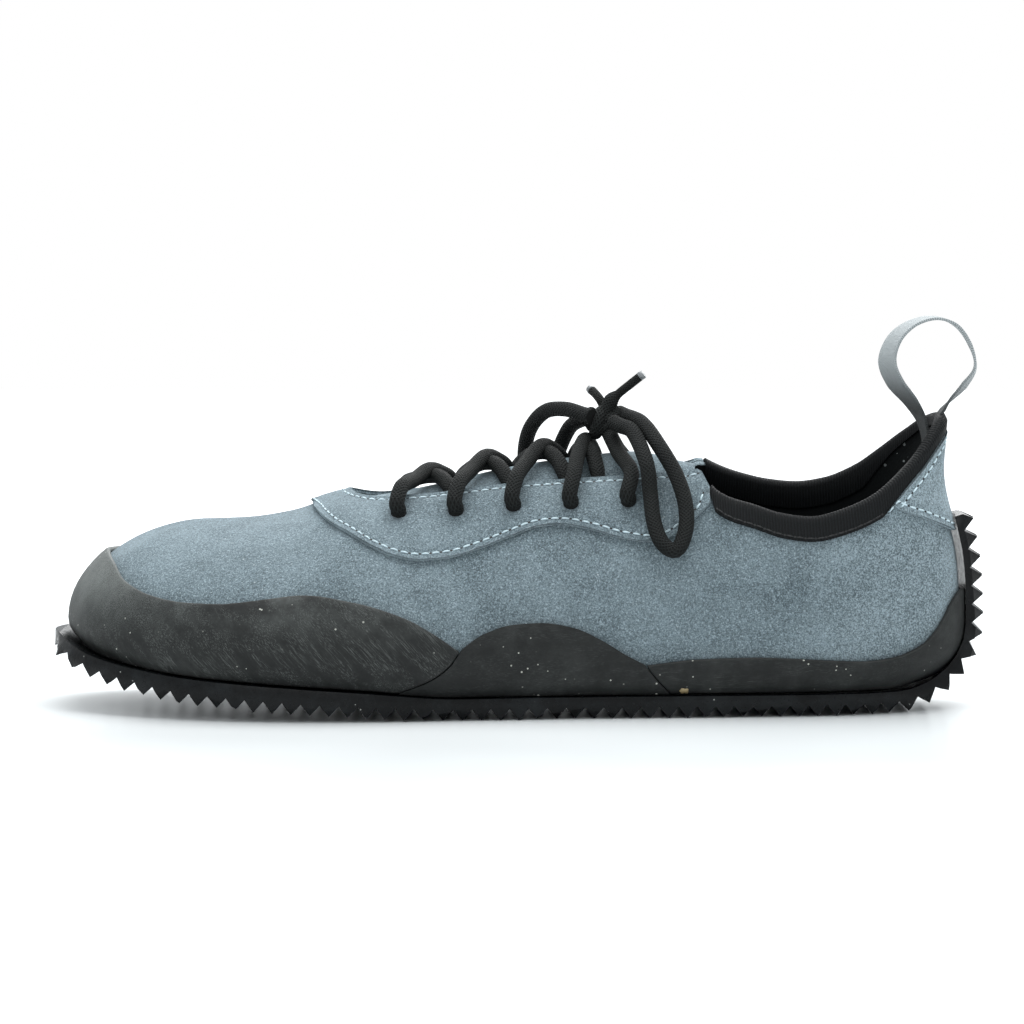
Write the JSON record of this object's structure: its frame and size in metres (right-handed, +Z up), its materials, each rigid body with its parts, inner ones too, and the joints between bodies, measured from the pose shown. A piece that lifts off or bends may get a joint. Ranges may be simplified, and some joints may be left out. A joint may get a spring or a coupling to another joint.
{
  "type": "barefoot shoe",
  "caption": "Low lace-up barefoot shoe for the left foot: hollow suede upper with rubber rands, a tied lace, a heel pull loop and a thin studded rubber sole.",
  "frame": {"origin": "on the floor under the middle of the shoe's footprint", "axes": "+Z up, -X towards the toe, -Y towards the outer (lateral) side and +Y towards the inner (medial) side"},
  "size_m": [0.2808, 0.0989, 0.1174],
  "materials": {
    "suede": "napped blue-grey suede",
    "rand_rubber": "matte, sanded",
    "sole_rubber": "matte moulded",
    "ribbon": "ribbed black ribbon",
    "loop_ribbon": "woven dark grey ribbon",
    "lace_cord": "braided charcoal cord",
    "lining": "matte black lining"
  },
  "bodies": {
    "root": {"outsole": "sole_rubber", "upper": "suede", "rand_toe": "rand_rubber", "rand_side_lateral": "rand_rubber", "rand_side_medial": "rand_rubber", "rand_heel": "rand_rubber", "eyestay": "suede", "heel_patch": "suede", "collar_binding": "ribbon", "tongue": "suede", "insole": "lining", "pull_loop": "loop_ribbon", "lace_crossing_1": "lace_cord", "lace_crossing_2": "lace_cord", "lace_crossing_3": "lace_cord", "lace_crossing_4": "lace_cord", "lace_crossing_5": "lace_cord", "lace_knot": "lace_cord", "lace_loop_lateral": "lace_cord", "lace_loop_medial": "lace_cord", "lace_end_lateral": "lace_cord", "lace_end_medial": "lace_cord"}
  },
  "joints": []
}
